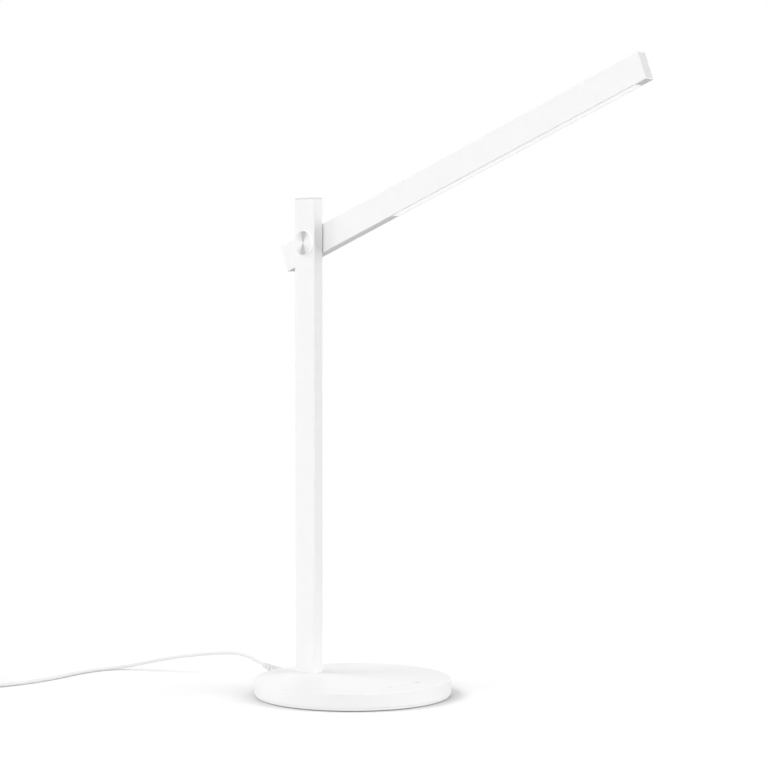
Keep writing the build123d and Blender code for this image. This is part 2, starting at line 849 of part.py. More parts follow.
coil_first = Vector(*coil_start, coil_level)
turn_samples = 24
coil_points = []
with BuildPart() as cord_coil:
    with BuildLine() as coil_path:
        at = coil_first + coil_along * cord_diameter
        heading = coil_along
        Line(coil_first, at)
        for step, climb in half_turns:
            radius = coil_inner_radius + step * coil_pitch / 2
            rise = climb * coil_pitch
            across = heading.cross(up) * math.sqrt(4 * radius**2 - rise**2) + up * rise
            turn = TangentArc(at, at + across, tangent=heading)
            coil_points += [turn @ (k / turn_samples) for k in range(turn_samples)]
            at = at + across
            heading = -heading
        coil_last = at + heading * cord_diameter
        Line(at, coil_last)
    with BuildSketch(Plane(coil_first, x_dir=up, z_dir=coil_along)):
        RegularPolygon(cord_diameter / 2, coil_sides)
    sweep(path=coil_path.wire())
save(cord_coil.part, "cord_coil")
coil_length = coil_path.wire().length
coil_gap_found = min(
    (coil_points[i] - coil_points[j]).length
    for i in range(len(coil_points))
    for j in range(i + turn_samples, len(coil_points))
)
print(f"coil length {coil_length:.1f}, least gap {coil_gap_found - cord_diameter:.2f}")

# Free stretch of the cord, from the strain relief to the coil
relief_tip = relief_plane(relief_length)
cord_points = [relief_tip.origin, relief_tip.origin + relief_tip.z_dir * cord_first_run]
cord_points += cord_route + [coil_first - coil_along * cord_last_run, coil_first]
cord, cord_length = routed_tube(cord_points, cord_diameter)
save(cord, "cord")

# Tail of the cord, from the top of the coil down to the plug
plug_level = plug_height / 2 + plug_floor_gap
tail_points = [coil_last]
for step, drop in zip(tail_steps, tail_drops):
    tail_points.append(tail_points[-1] + coil_along * step - up * drop * (coil_last.Z - plug_level))
cord_tail, tail_length = routed_tube(tail_points, cord_diameter)
save(cord_tail, "cord_tail")

section = math.pi * cord_diameter**2 / 4
for name, tube, points, length in (
    ("cord", cord, cord_points, cord_length),
    ("cord_tail", cord_tail, tail_points, tail_length),
):
    radii = ", ".join(f"{radius:.0f}" for radius in corner_radii(points))
    ratio = tube.volume / (section * length)
    print(f"{name}: length {length:.1f}, radii {radii}, volume ratio {ratio:.4f}")
print(f"whole cord {cord_length + coil_length + tail_length:.0f}")

# Tie: a strap round the coil's bundle on the side away from the cord's start
bundle_inner = 2 * coil_inner_radius + (coil_bottom_half_turns + 1) / 2 * coil_pitch
bundle_outer = 2 * coil_inner_radius + coil_bottom_half_turns * coil_pitch
bundle_high = (coil_layers - 1) * coil_pitch
tie_bow = tie_width**2 / (8 * coil_inner_radius)
tie_across = bundle_outer - bundle_inner + cord_diameter + tie_bow + 2 * tie_gap
tie_high = bundle_high + cord_diameter + 2 * tie_gap
tie_middle = (
    coil_first
    + coil_along * cord_diameter
    + coil_along.cross(up) * ((bundle_inner + bundle_outer - tie_bow) / 2)
    + up * (bundle_high / 2)
)
with BuildPart() as cord_tie:
    with BuildSketch(Plane(tie_middle, x_dir=coil_along.cross(up), z_dir=-coil_along)):
        RectangleRounded(tie_across + 2 * tie_thickness, tie_high + 2 * tie_thickness, tie_corner)
        RectangleRounded(tie_across, tie_high, tie_corner - tie_thickness, mode=Mode.SUBTRACT)
    extrude(amount=tie_width / 2, both=True)
save(cord_tie.part, "cord_tie")

# Plug: an overmoulded body, a folded metal shell and the tongue inside it
tail_end = Plane(tail_points[-1], x_dir=up.cross(coil_along), z_dir=coil_along)
body_seat = tail_end.offset(plug_collar_length)
shell_seat = body_seat.offset(plug_length)
with BuildPart() as plug_body:
    with BuildSketch(body_seat):
        RectangleRounded(plug_width, plug_height, plug_corner)
    extrude(amount=plug_length)
    fillet(plug_body.edges().group_by(Axis(body_seat.origin, coil_along))[0], plug_edge_radius)
    with BuildSketch(tail_end):
        Circle(plug_collar_tip / 2)
    with BuildSketch(body_seat):
        Circle(plug_collar_diameter / 2)
    loft()
save(plug_body.part, "plug_body")

with BuildPart() as plug_shell:
    with BuildSketch(shell_seat):
        Rectangle(usb_width, usb_height)
        Rectangle(usb_width - 2 * usb_wall, usb_height - 2 * usb_wall, mode=Mode.SUBTRACT)
    extrude(amount=usb_length)
    window_plane = Plane(
        shell_seat.origin + coil_along * (usb_length - usb_window_back), x_dir=coil_along, z_dir=up
    )
    with BuildSketch(window_plane):
        with GridLocations(0, usb_window_spacing, 1, 2):
            Rectangle(usb_window, usb_window)
    extrude(amount=usb_height, both=True, mode=Mode.SUBTRACT)
save(plug_shell.part, "plug_shell")

tongue_low = usb_tongue_clearance + usb_wall - usb_height / 2
with BuildPart() as plug_tongue:
    with BuildSketch(shell_seat):
        with Locations((0, tongue_low)):
            Rectangle(
                usb_width - 2 * (usb_wall + usb_tongue_clearance),
                usb_tongue_thickness,
                align=(Align.CENTER, Align.MIN),
            )
    extrude(amount=usb_length - usb_tongue_setback)
save(plug_tongue.part, "plug_tongue")
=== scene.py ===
import bmesh
import bpy
import json
import math
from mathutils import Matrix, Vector


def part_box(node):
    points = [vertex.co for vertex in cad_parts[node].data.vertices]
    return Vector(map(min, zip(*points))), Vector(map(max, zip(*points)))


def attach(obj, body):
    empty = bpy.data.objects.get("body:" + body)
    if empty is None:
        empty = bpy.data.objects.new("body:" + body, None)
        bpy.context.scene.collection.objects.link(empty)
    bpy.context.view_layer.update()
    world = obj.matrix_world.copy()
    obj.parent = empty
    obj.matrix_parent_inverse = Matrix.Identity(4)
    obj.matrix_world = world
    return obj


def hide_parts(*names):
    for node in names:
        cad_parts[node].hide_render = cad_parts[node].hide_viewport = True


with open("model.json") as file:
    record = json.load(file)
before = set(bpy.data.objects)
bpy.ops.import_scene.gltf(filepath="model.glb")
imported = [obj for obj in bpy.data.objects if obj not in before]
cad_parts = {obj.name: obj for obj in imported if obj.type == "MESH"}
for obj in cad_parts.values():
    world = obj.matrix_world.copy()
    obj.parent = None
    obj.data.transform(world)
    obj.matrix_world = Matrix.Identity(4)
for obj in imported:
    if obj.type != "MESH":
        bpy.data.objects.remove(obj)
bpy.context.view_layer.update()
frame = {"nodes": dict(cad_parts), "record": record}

# Sizes are in metres. Those that repeat the solids are written in millimetres, times MM.
MM = 0.001
UP = Vector((0, 0, 1))
QUARTER_TURN = 90
HALF_TURN = 180
FULL_TURN = 360

# Camera, solved on the edges of the post, the arm and the base
camera_position = (1.262624, -1.409811, 0.318211)
camera_azimuth = 41.082
camera_pitch = -1.978
focal_pixels = 2340.693
frame_pixels = 768
sensor_width = 36.0

# Strain relief: where it leaves the base, and its bend, which give the cord's exit
relief_angle = math.radians(174.0)
relief_root = 80.1 * MM
relief_height = 8.2 * MM
relief_length = 32.0 * MM
relief_bend = math.radians(13.6)
relief_radius = relief_length / relief_bend
relief_out = Vector((math.cos(relief_angle), math.sin(relief_angle), 0))
relief_reach = relief_root + relief_radius * math.sin(relief_bend)
relief_level = relief_height + relief_radius * (1 - math.cos(relief_bend))
cord_exit = relief_out * relief_reach + UP * relief_level
cord_way = relief_out * math.cos(relief_bend) + UP * math.sin(relief_bend)

# Cord: the free stretch's route after a first straight run, in millimetres
cord_diameter = 3.0 * MM
cord_first_run = 9.0 * MM
cord_order = 3
cord_steps = 5
cord_floor = 1.55
cord_route = [
    (-128.5, 11.8, 17.0),
    (-139.0, 9.0, 19.3),
    (-152.5, 6.2, 18.9),
    (-168.0, 2.5, 17.1),
    (-184.5, -4.5, 14.7),
    (-202.0, -12.0, 11.5),
    (-218.0, -20.5, 7.7),
    (-233.0, -29.5, 3.6),
    (-244.0, -40.0, cord_floor),
    (-249.0, -57.0, cord_floor),
    (-248.0, -79.0, cord_floor),
    (-243.0, -104.0, cord_floor),
    (-241.0, -129.0, cord_floor),
    (-243.5, -152.0, cord_floor),
]

# Coil of the cord that is put away
coil_start = Vector((-251.5, -186.0, 2.45)) * MM
coil_heading = math.radians(255.0)
coil_along = Vector((math.cos(coil_heading), math.sin(coil_heading), 0))
coil_side = coil_along.cross(UP)
coil_lead_in = 15.0 * MM
coil_inner_radius = 13.3 * MM
coil_pitch = 3.5 * MM
coil_bottom_half_turns = 7
coil_upper_half_turns = 4
points_per_half_turn = 12

# Tail of the cord, as steps along the coil's heading and down, and the plug on it
tail_steps = [8.0, 14.0, 14.0, 8.0]
tail_drops = [0.0, 0.4, 0.6, 0.0]
plug_level = 4.1 * MM
plug_collar_length = 6.0 * MM
plug_length = 22.0 * MM
plug_height = 8.0 * MM
usb_length = 18.5 * MM
usb_tongue_setback = 1.0 * MM

# Ridges on the plug and contacts on its tongue
ridge_count = 5
ridge_pitch = 2.4 * MM
ridge_length = 10.0 * MM
ridge_width = 1.1 * MM
ridge_height = 0.35 * MM
ridge_steps = 8
contact_places = [-3.5 * MM, -1.0 * MM, 1.0 * MM, 3.5 * MM]
contact_length = 8.0 * MM
contact_width = 1.0 * MM
contact_height = 0.06 * MM
contact_tip_gap = 1.5 * MM

# Strap round the coil, laid over its own end
strap_across = 15.2 * MM
strap_high = 14.6 * MM
strap_width = 8.0 * MM
strap_thickness = 0.5 * MM
strap_corner = 2.7 * MM
strap_corner_steps = 6
strap_lap = 0.55 * MM
strap_lap_corner = 3
strap_edge_radius = 0.12 * MM
strap_edge_steps = 2

# Touch marks, printed on the base top
mark_x = 54.0 * MM
mark_pitch = 17.0 * MM
mark_radius = 2.9 * MM
mark_line = 0.5 * MM
mark_height = 0.02 * MM
mark_gap_angle = 40.0
mark_ray_count = 8
mark_ray_start = 0.7 * mark_radius
mark_dot_radius = 0.4 * mark_radius
mark_stroke_foot = 0.4 * mark_radius
mark_stroke_top = 1.1 * mark_radius
mark_end_steps = 6
mark_arc_steps = 48
mark_disc_steps = 24

# Materials: patches of tone, glow or gloss, in metres or as a multiple of the grain, cell or thread,
# strengths of bump, and the other values that belong to one kind of surface
grain_detail = 5.0
moulded_gloss_patch = 3
metal_tone_patch = 8
foam_gloss_patch = 4
foam_bump = 0.7
track_width = 0.04
board_gloss_patch = 2.0 * MM
disc_anisotropy = 0.98
disc_grain_turn = 0.25
disc_tone_patch = 3.0 * MM
disc_gloss_patch = 0.8 * MM
disc_bump = 0.25
opal_glow_patch = 12.0 * MM
opal_gloss_patch = 1.5 * MM
phosphor_tone_patch = 1.0 * MM
phosphor_gloss_patch = 0.6 * MM
weave_sheen = 0.3
weave_gloss_patch = 2
weave_bump = 0.8

# A wave texture at a scale of 1 runs through this many radians in a metre
wave_radians = 20.0

# Studio floor: it shows as white, with a deeper shadow close to what stands on it, and throws light back on
# the disc's side only, as a fill card does
floor_radius = 10.0
floor_segments = 64
floor_white = 1.09
floor_shaded = 0.48
shade_reach = 15.0 * MM
shade_samples = 4
front_bounce = 0.88
back_bounce = 0.02
bounce_fade = 0.12
behind_way = Vector((0, 1, 0))

# Even dome for light, and the white that the camera and reflections show instead of it
dome_light = 0.33
shown_white = 1.0
reflected_white = 1.2

# Soft distant lamps: name, the way to it, what it adds to a white surface that faces it, and its width in
# degrees
lamps = [
    ("left_lamp", (-0.55, -0.40, 0.73), 0.36, 40.0),
    ("front_lamp", (0.20, -0.94, 0.28), 0.385, 50.0),
    ("right_lamp", (0.76, 0.60, 0.24), 0.66, 60.0),
    ("back_lamp", (0.33, 0.37, 0.87), 0.08, 40.0),
]

# Dark board that only reflections show: its middle, its width and height, and its tone
flag_place = Vector((-0.84, -0.91, 0.60))
flag_width = 0.13
flag_height = 1.6
flag_dark = 0.02


def grey(level):
    """Colour with the same red, green and blue."""
    return (level, level, level)


def unit(turn):
    """Direction of length 1 in a plane, at an angle in radians."""
    return Vector((math.cos(turn), math.sin(turn)))


# Making pieces
def link(name, data):
    """Puts a new object with this data in the scene."""
    piece = bpy.data.objects.new(name, data)
    bpy.context.collection.objects.link(piece)
    return piece


def mesh_piece(name, builder):
    """Turns a bmesh into an object with its faces outward, and frees the bmesh."""
    bmesh.ops.recalc_face_normals(builder, faces=builder.faces)
    data = bpy.data.meshes.new(name)
    builder.to_mesh(data)
    builder.free()
    return link(name, data)


def dress(piece, finish):
    """Gives a new piece its material, and lets it ride on the stand."""
    piece.data.materials.append(finish)
    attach(piece, "stand")


def tube_of(builder, rings):
    """Joins rings of points into a closed solid with flat ends."""
    loops = [[builder.verts.new(point) for point in ring] for ring in rings]
    builder.faces.new(loops[0])
    builder.faces.new(loops[-1])
    for here, there in zip(loops, loops[1:]):
        for k in range(len(here)):
            after = (k + 1) % len(here)
            builder.faces.new((here[k], here[after], there[after], there[k]))


# Camera
def make_camera():
    """Camera at the photograph's viewpoint, with its lens."""
    data = bpy.data.cameras.new("camera")
    data.sensor_width = sensor_width
    data.lens = focal_pixels * sensor_width / frame_pixels
    camera = link("camera", data)
    camera.location = camera_position
    camera.rotation_euler = (math.radians(QUARTER_TURN + camera_pitch), 0, math.radians(camera_azimuth))
    bpy.context.scene.camera = camera


# Parts of materials
def new_material(name):
    """Node material with a Principled shader. Returns the material, its tree and the shader."""
    material = bpy.data.materials.new(name)
    material.use_nodes = True
    tree = material.node_tree
    return material, tree, tree.nodes["Principled BSDF"]


def placed(tree, coordinates="Object", scale=(1, 1, 1), offset=(0, 0, 0)):
    """Texture coordinates, scaled and moved."""
    source = tree.nodes.new("ShaderNodeTexCoord")
    mapping = tree.nodes.new("ShaderNodeMapping")
    mapping.inputs["Scale"].default_value = scale
    mapping.inputs["Location"].default_value = offset
    tree.links.new(source.outputs[coordinates], mapping.inputs["Vector"])
    return mapping.outputs["Vector"]


def noise(tree, size, detail=3.0, stretch=(1, 1, 1)):
    """Noise with features of about the given size in metres."""
    texture = tree.nodes.new("ShaderNodeTexNoise")
    texture.inputs["Scale"].default_value = 1 / size
    texture.inputs["Detail"].default_value = detail
    tree.links.new(placed(tree, scale=stretch), texture.inputs["Vector"])
    return texture.outputs["Fac"]


def cells(tree, size):
    """Distance to the middle of the nearest cell, for foam."""
    texture = tree.nodes.new("ShaderNodeTexVoronoi")
    texture.inputs["Scale"].default_value = 1 / size
    tree.links.new(placed(tree), texture.inputs["Vector"])
    return texture.outputs["Distance"]


def tint(tree, source, socket, low, high, start=0.3, end=0.7):
    """Colours a socket from a texture, between two colours."""
    ramp = tree.nodes.new("ShaderNodeValToRGB")
    ramp.color_ramp.elements[0].position = start
    ramp.color_ramp.elements[1].position = end
    ramp.color_ramp.elements[0].color = (*low, 1)
    ramp.color_ramp.elements[1].color = (*high, 1)
    tree.links.new(source, ramp.inputs["Fac"])
    tree.links.new(ramp.outputs["Color"], socket)


def vary(tree, source, socket, low, high):
    """Sets a socket between two values, from a source that runs from 0 to 1."""
    spread = tree.nodes.new("ShaderNodeMapRange")
    spread.inputs["To Min"].default_value = low
    spread.inputs["To Max"].default_value = high
    tree.links.new(source, spread.inputs["Value"])
    tree.links.new(spread.outputs["Result"], socket)


def raise_bump(tree, shader, height, depth, strength=0.4):
    """Bump from a height texture, with its depth in metres."""
    bump = tree.nodes.new("ShaderNodeBump")
    bump.inputs["Strength"].default_value = strength
    bump.inputs["Distance"].default_value = depth
    tree.links.new(height, bump.inputs["Height"])
    tree.links.new(bump.outputs["Normal"], shader.inputs["Normal"])


# Kinds of surface
def moulded(name, low, high, gloss, grain, depth, mottle=9 * MM):
    """Coated, moulded or cast surface: faintly mottled, with uneven gloss and a fine grain."""
    material, tree, shader = new_material(name)
    tint(tree, noise(tree, mottle), shader.inputs["Base Color"], low, high)
    vary(tree, noise(tree, moulded_gloss_patch * grain), shader.inputs["Roughness"], *gloss)
    raise_bump(tree, shader, noise(tree, grain, detail=grain_detail), depth)
    return material


def metal(name, low, high, gloss, grain, depth, stretch=(1, 1, 1)):
    """Bare or plated metal, with a grain that can be drawn out along one way."""
    material, tree, shader = new_material(name)
    shader.inputs["Metallic"].default_value = 1.0
    drawn = noise(tree, grain, detail=grain_detail, stretch=stretch)
    broad = noise(tree, metal_tone_patch * grain, stretch=stretch)
    tint(tree, broad, shader.inputs["Base Color"], low, high)
    vary(tree, drawn, shader.inputs["Roughness"], *gloss)
    raise_bump(tree, shader, drawn, depth)
    return material


def foam(name, low, high, gloss, cell, depth):
    """Closed-cell foam or rubber with visible cells."""
    material, tree, shader = new_material(name)
    found = cells(tree, cell)
    tint(tree, found, shader.inputs["Base Color"], low, high)
    vary(tree, noise(tree, foam_gloss_patch * cell), shader.inputs["Roughness"], *gloss)
    raise_bump(tree, shader, found, depth, strength=foam_bump)
    return material


def circuit_board(name, mask, trace, gloss, cell, depth):
    """Solder mask over a net of tracks."""
    material, tree, shader = new_material(name)
    tracks = tree.nodes.new("ShaderNodeTexBrick")
    tracks.inputs["Scale"].default_value = 1 / cell
    tracks.inputs["Mortar Size"].default_value = track_width
    tracks.inputs["Color1"].default_value = (*mask, 1)
    tracks.inputs["Color2"].default_value = (*mask, 1)
    tracks.inputs["Mortar"].default_value = (*trace, 1)
    tree.links.new(placed(tree), tracks.inputs["Vector"])
    tree.links.new(tracks.outputs["Color"], shader.inputs["Base Color"])
    vary(tree, noise(tree, board_gloss_patch), shader.inputs["Roughness"], *gloss)
    raise_bump(tree, shader, tracks.outputs["Fac"], depth)
    return material


def wave_scale(pitch):
    """Scale at which a wave texture repeats at this pitch in metres."""
    return 2 * math.pi / (wave_radians * pitch)


def turned_metal(name, low, high, gloss, middle, ring_pitch, depth):
    """Faced on a lathe: fine rings, with highlights drawn out across them."""
    material, tree, shader = new_material(name)
    shader.inputs["Metallic"].default_value = 1.0
    shader.inputs["Anisotropic"].default_value = disc_anisotropy
    shader.inputs["Anisotropic Rotation"].default_value = disc_grain_turn
    round_about = tree.nodes.new("ShaderNodeTangent")
    round_about.direction_type = "RADIAL"
    round_about.axis = "Y"
    tree.links.new(round_about.outputs["Tangent"], shader.inputs["Tangent"])
    rings = tree.nodes.new("ShaderNodeTexWave")
    rings.wave_type = "RINGS"
    rings.rings_direction = "Y"
    rings.inputs["Scale"].default_value = wave_scale(ring_pitch)
    tree.links.new(placed(tree, offset=-middle), rings.inputs["Vector"])
    tint(tree, noise(tree, disc_tone_patch), shader.inputs["Base Color"], low, high)
    vary(tree, noise(tree, disc_gloss_patch), shader.inputs["Roughness"], *gloss)
    raise_bump(tree, shader, rings.outputs["Fac"], depth, strength=disc_bump)
    return material


def opal(name, body, low, high, gloss, glow, grain, depth):
    """Milky plastic that glows all over, a little unevenly."""
    material, tree, shader = new_material(name)
    shader.inputs["Base Color"].default_value = (*body, 1)
    shader.inputs["Emission Strength"].default_value = glow
    tint(tree, noise(tree, opal_glow_patch), shader.inputs["Emission Color"], low, high)
    vary(tree, noise(tree, opal_gloss_patch), shader.inputs["Roughness"], *gloss)
    raise_bump(tree, shader, noise(tree, grain), depth)
    return material


def phosphor(name, low, high, gloss, light, glow):
    """Yellow gel over the LED chips, lit."""
    material, tree, shader = new_material(name)
    shader.inputs["Emission Strength"].default_value = glow
    shader.inputs["Emission Color"].default_value = (*light, 1)
    tint(tree, noise(tree, phosphor_tone_patch), shader.inputs["Base Color"], low, high)
    vary(tree, noise(tree, phosphor_gloss_patch), shader.inputs["Roughness"], *gloss)
    return material


def woven(name, low, high, gloss, thread, depth):
    """Plain weave: two sets of threads that pass over each other, from the strap's own coordinates."""
    material, tree, shader = new_material(name)
    shader.inputs["Sheen Weight"].default_value = weave_sheen
    across = tree.nodes.new("ShaderNodeTexWave")
    along = tree.nodes.new("ShaderNodeTexWave")
    along.bands_direction = "Y"
    place = placed(tree, "UV")
    for threads in (across, along):
        threads.inputs["Scale"].default_value = wave_scale(thread)
        tree.links.new(place, threads.inputs["Vector"])
    weave = tree.nodes.new("ShaderNodeMath")
    weave.operation = "MULTIPLY"
    tree.links.new(across.outputs["Fac"], weave.inputs[0])
    tree.links.new(along.outputs["Fac"], weave.inputs[1])
    tint(tree, weave.outputs["Value"], shader.inputs["Base Color"], low, high)
    vary(tree, noise(tree, weave_gloss_patch * thread), shader.inputs["Roughness"], *gloss)
    raise_bump(tree, shader, weave.outputs["Value"], depth, strength=weave_bump)
    return material


# Materials, by the record's slots: name, colours, range of roughness, and sizes
disc_low, disc_high = (Vector(corner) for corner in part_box("pivot_disc"))
slot_finish = {
    "white_paint": moulded(
        "white_powder_coat", grey(0.885), grey(0.900), (0.44, 0.56), grain=0.40 * MM, depth=0.012 * MM
    ),
    "shell_plastic": moulded(
        "satin_shell", grey(0.885), grey(0.900), (0.36, 0.46), grain=0.16 * MM, depth=0.006 * MM
    ),
    # Cap plastic: a greyer white, darkened further as painted shade on the arm's end face
    "cap_plastic": moulded(
        "grey_cap_painted_shade", grey(0.750), grey(0.765), (0.40, 0.50), grain=0.16 * MM, depth=0.006 * MM
    ),
    # Cover plastic: whiter than the shell as painted light, lifting the shade under the shell's overhang
    "cover_plastic": moulded(
        "matt_cover_painted_light", grey(0.925), grey(0.940), (0.55, 0.68), grain=0.25 * MM, depth=0.012 * MM
    ),
    "pad_rubber": foam(
        "pad_foam", grey(0.24), grey(0.30), (0.75, 0.95), cell=0.5 * MM, depth=0.05 * MM
    ),
    "steel": metal(
        "zinc_plate", (0.60, 0.61, 0.62), (0.70, 0.70, 0.69), (0.22, 0.40), grain=0.3 * MM, depth=0.004 * MM
    ),
    "iron": moulded(
        "cast_iron", grey(0.030), grey(0.055), (0.62, 0.82), grain=0.6 * MM, depth=0.08 * MM, mottle=3 * MM
    ),
    "board": circuit_board(
        "green_board", (0.010, 0.090, 0.030), (0.030, 0.170, 0.060), (0.28, 0.40), cell=4 * MM,
        depth=0.03 * MM,
    ),
    "foam": foam(
        "black_foam", grey(0.012), grey(0.030), (0.75, 0.95), cell=0.4 * MM, depth=0.08 * MM
    ),
    "connector_plastic": moulded(
        "nylon", (0.70, 0.67, 0.58), (0.76, 0.73, 0.65), (0.36, 0.48), grain=0.2 * MM, depth=0.004 * MM
    ),
    "bare_aluminium": metal(
        "drawn_aluminium", grey(0.72), grey(0.80), (0.26, 0.42), grain=0.4 * MM, depth=0.005 * MM,
        stretch=(0.05, 1, 1),
    ),
    "bearing_plastic": moulded(
        "grey_acetal", grey(0.060), grey(0.080), (0.30, 0.42), grain=0.2 * MM, depth=0.003 * MM
    ),
    "turned_metal": turned_metal(
        "turned_disc", grey(0.96), grey(0.99), (0.22, 0.26), middle=(disc_low + disc_high) / 2,
        ring_pitch=0.22 * MM, depth=0.004 * MM,
    ),
    "led_board_white": circuit_board(
        "white_board", grey(0.82), grey(0.74), (0.28, 0.40), cell=6 * MM, depth=0.03 * MM
    ),
    "led_phosphor": phosphor(
        "led_phosphor", (0.85, 0.70, 0.18), (0.92, 0.80, 0.30), (0.20, 0.32), light=(1.0, 0.86, 0.55),
        glow=0.6,
    ),
    "opal": opal(
        "opal_diffuser", grey(0.90), grey(0.97), grey(1.0), (0.38, 0.46), glow=0.42, grain=0.2 * MM,
        depth=0.006 * MM,
    ),
    "wire_plastic": moulded(
        "wire_skin", grey(0.68), grey(0.74), (0.36, 0.48), grain=0.3 * MM, depth=0.006 * MM
    ),
    "relief_plastic": moulded(
        "relief_skin", grey(0.78), grey(0.82), (0.46, 0.58), grain=0.2 * MM, depth=0.006 * MM
    ),
    "cord_plastic": moulded(
        "cord_skin", grey(0.86), grey(0.88), (0.40, 0.52), grain=0.3 * MM, depth=0.008 * MM
    ),
    "tie_fabric": woven(
        "woven_strap", grey(0.58), grey(0.76), (0.80, 0.95), thread=0.45 * MM, depth=0.12 * MM
    ),
    "plug_plastic": moulded(
        "plug_skin", grey(0.84), grey(0.87), (0.38, 0.50), grain=0.18 * MM, depth=0.006 * MM
    ),
    "plug_metal": metal(
        "nickel_plate", (0.66, 0.64, 0.60), (0.72, 0.70, 0.67), (0.18, 0.30), grain=0.4 * MM, depth=0.003 * MM
    ),
    "tongue_plastic": moulded(
        "tongue_skin", grey(0.78), grey(0.82), (0.36, 0.46), grain=0.2 * MM, depth=0.003 * MM
    ),
    "mark_print": moulded(
        "mark_print", grey(0.68), grey(0.73), (0.50, 0.60), grain=0.1 * MM, depth=0.002 * MM
    ),
    "contact_gold": metal(
        "gold_plate", (0.85, 0.62, 0.26), (0.92, 0.70, 0.34), (0.16, 0.28), grain=0.3 * MM, depth=0.002 * MM
    ),
}

for part in frame["record"]["subparts"]:
    for material_slot in frame["nodes"][part["node"]].material_slots:
        material_slot.material = slot_finish[part["material_slot"]]


# Cord
def half_turn(start, heading, radius, rise):
    """Control points of a half turn to the right, on lines that touch it, and the place where it ends."""
    across = heading.cross(UP) * math.sqrt(4 * radius**2 - rise**2) + UP * rise
    middle = start + across / 2
    step = math.pi / points_per_half_turn
    reach = 1 / math.cos(step / 2)
    points = []
    for k in range(points_per_half_turn):
        turn = (k + 0.5) * step
        points.append(middle + (heading * radius * math.sin(turn) - across / 2 * math.cos(turn)) * reach)
    return points, start + across


def cord_points():
    """Control points of the whole cord, from the strain relief to the plug.

    The coil's half turns are steps out from its inner radius, with the layers that each climbs: in along the
    bottom, then out, in and out again on the layers above.
    """
    inward = range(coil_bottom_half_turns, 0, -1)
    outward = range(1, coil_upper_half_turns)
    half_turns = [(step, 0) for step in inward]
    half_turns += [(0, 1)] + [(step, 0) for step in outward]
    half_turns += [(coil_upper_half_turns, 1)] + [(step, 0) for step in reversed(outward)]
    half_turns += [(0, 1)] + [(step, 0) for step in outward]
    half_turns += [(coil_upper_half_turns, 0)]

    points = [cord_exit, cord_exit + cord_way * cord_first_run]
    points += [Vector(place) * MM for place in cord_route]
    points += [coil_start - coil_along * coil_lead_in, coil_start]
    at = coil_start + coil_along * cord_diameter
    heading = coil_along
    for step, climb in half_turns:
        radius = coil_inner_radius + step * coil_pitch / 2
        turn_points, at = half_turn(at, heading, radius, climb * coil_pitch)
        points += turn_points
        heading = -heading
    points.append(at + heading * cord_diameter)
    fall = at.z - plug_level
    for step, drop in zip(tail_steps, tail_drops):
        points.append(points[-1] + coil_along * step * MM - UP * drop * fall)
    return points


def make_cord(points):
    """Round cord along one open spline with these control points."""
    data = bpy.data.curves.new("cord_flex", "CURVE")
    data.dimensions = "3D"
    data.bevel_depth = cord_diameter / 2
    data.bevel_resolution = cord_steps
    data.resolution_u = cord_steps
    data.use_fill_caps = True
    spline = data.splines.new("NURBS")
    spline.points.add(len(points) - 1)
    for point, place in zip(spline.points, points):
        point.co = (*place, 1)
    spline.order_u = cord_order
    spline.use_endpoint_u = True
    return link("cord_flex", data)


# Strap
def strap_places():
    """Middle line of the strap, as (across, up) places with the way out at each.

    It starts at the left of the top, goes once round the coil, climbs on its own start at the fourth corner
    and ends on the outer side.
    """
    side = strap_across / 2 - strap_corner
    top = strap_high / 2 - strap_corner
    corners = [
        ((side, top), QUARTER_TURN),
        ((side, -top), 0),
        ((-side, -top), -QUARTER_TURN),
        ((-side, top), -HALF_TURN),
    ]
    places = [((-side, top), QUARTER_TURN, 0)]
    for number, ((across, up), first) in enumerate(corners + corners[:1]):
        for k in range(strap_corner_steps + 1):
            share = k / strap_corner_steps
            lap = strap_lap * min(max(number + share - strap_lap_corner, 0), 1)
            places.append(((across, up), first - QUARTER_TURN * share, lap))
    (across, up), first, lap = places[-1]
    places.append(((across, 0), first, lap))
    found = []
    for (across, up), turn, lap in places:
        out = unit(math.radians(turn))
        found.append((Vector((across, up)) + out * (strap_corner + lap), out))
    return found


def make_strap(middle):
    """Strap round the coil, with texture coordinates in metres along and across it."""
    builder = bmesh.new()
    edge = coil_along * strap_width / 2
    rings = []
    runs = [0.0]
    for place, out in strap_places():
        at = middle + coil_side * place.x + UP * place.y
        lift = (coil_side * out.x + UP * out.y) * strap_thickness / 2
        rings.append([at - edge - lift, at + edge - lift, at + edge + lift, at - edge + lift])
        if len(rings) > 1:
            runs.append(runs[-1] + (rings[-1][0] - rings[-2][0]).length)
    tube_of(builder, rings)
    strap = mesh_piece("coil_strap", builder)
    weave = strap.data.uv_layers.new(name="weave")
    for loop in strap.data.loops:
        across = (strap.data.vertices[loop.vertex_index].co - middle).dot(coil_along)
        weave.data[loop.index].uv = (runs[loop.vertex_index // len(rings[0])], across)
    bevel = strap.modifiers.new("soft_edges", "BEVEL")
    bevel.width = strap_edge_radius
    bevel.segments = strap_edge_steps
    bevel.limit_method = "ANGLE"
    return strap


# Plug details
def ridge(builder, middle, along, out):
    """Half-round ridge across the plug."""
    across = along.cross(out)
    rings = []
    for end in (-1, 1):
        ring = []
        for k in range(ridge_steps + 1):
            turn = math.pi * k / ridge_steps
            ring.append(
                middle
                + across * end * ridge_length / 2
                + along * math.cos(turn) * ridge_width / 2
                + out * math.sin(turn) * ridge_height
            )
        rings.append(ring)
    tube_of(builder, rings)


def make_ridges(plug_start):
    """Row of ridges on the plug's top."""
    builder = bmesh.new()
    middle = plug_start + coil_along * (plug_collar_length + plug_length / 2) + UP * plug_height / 2
    for k in range(ridge_count):
        ridge(builder, middle + coil_along * (k - (ridge_count - 1) / 2) * ridge_pitch, coil_along, UP)
    return mesh_piece("plug_ridges", builder)


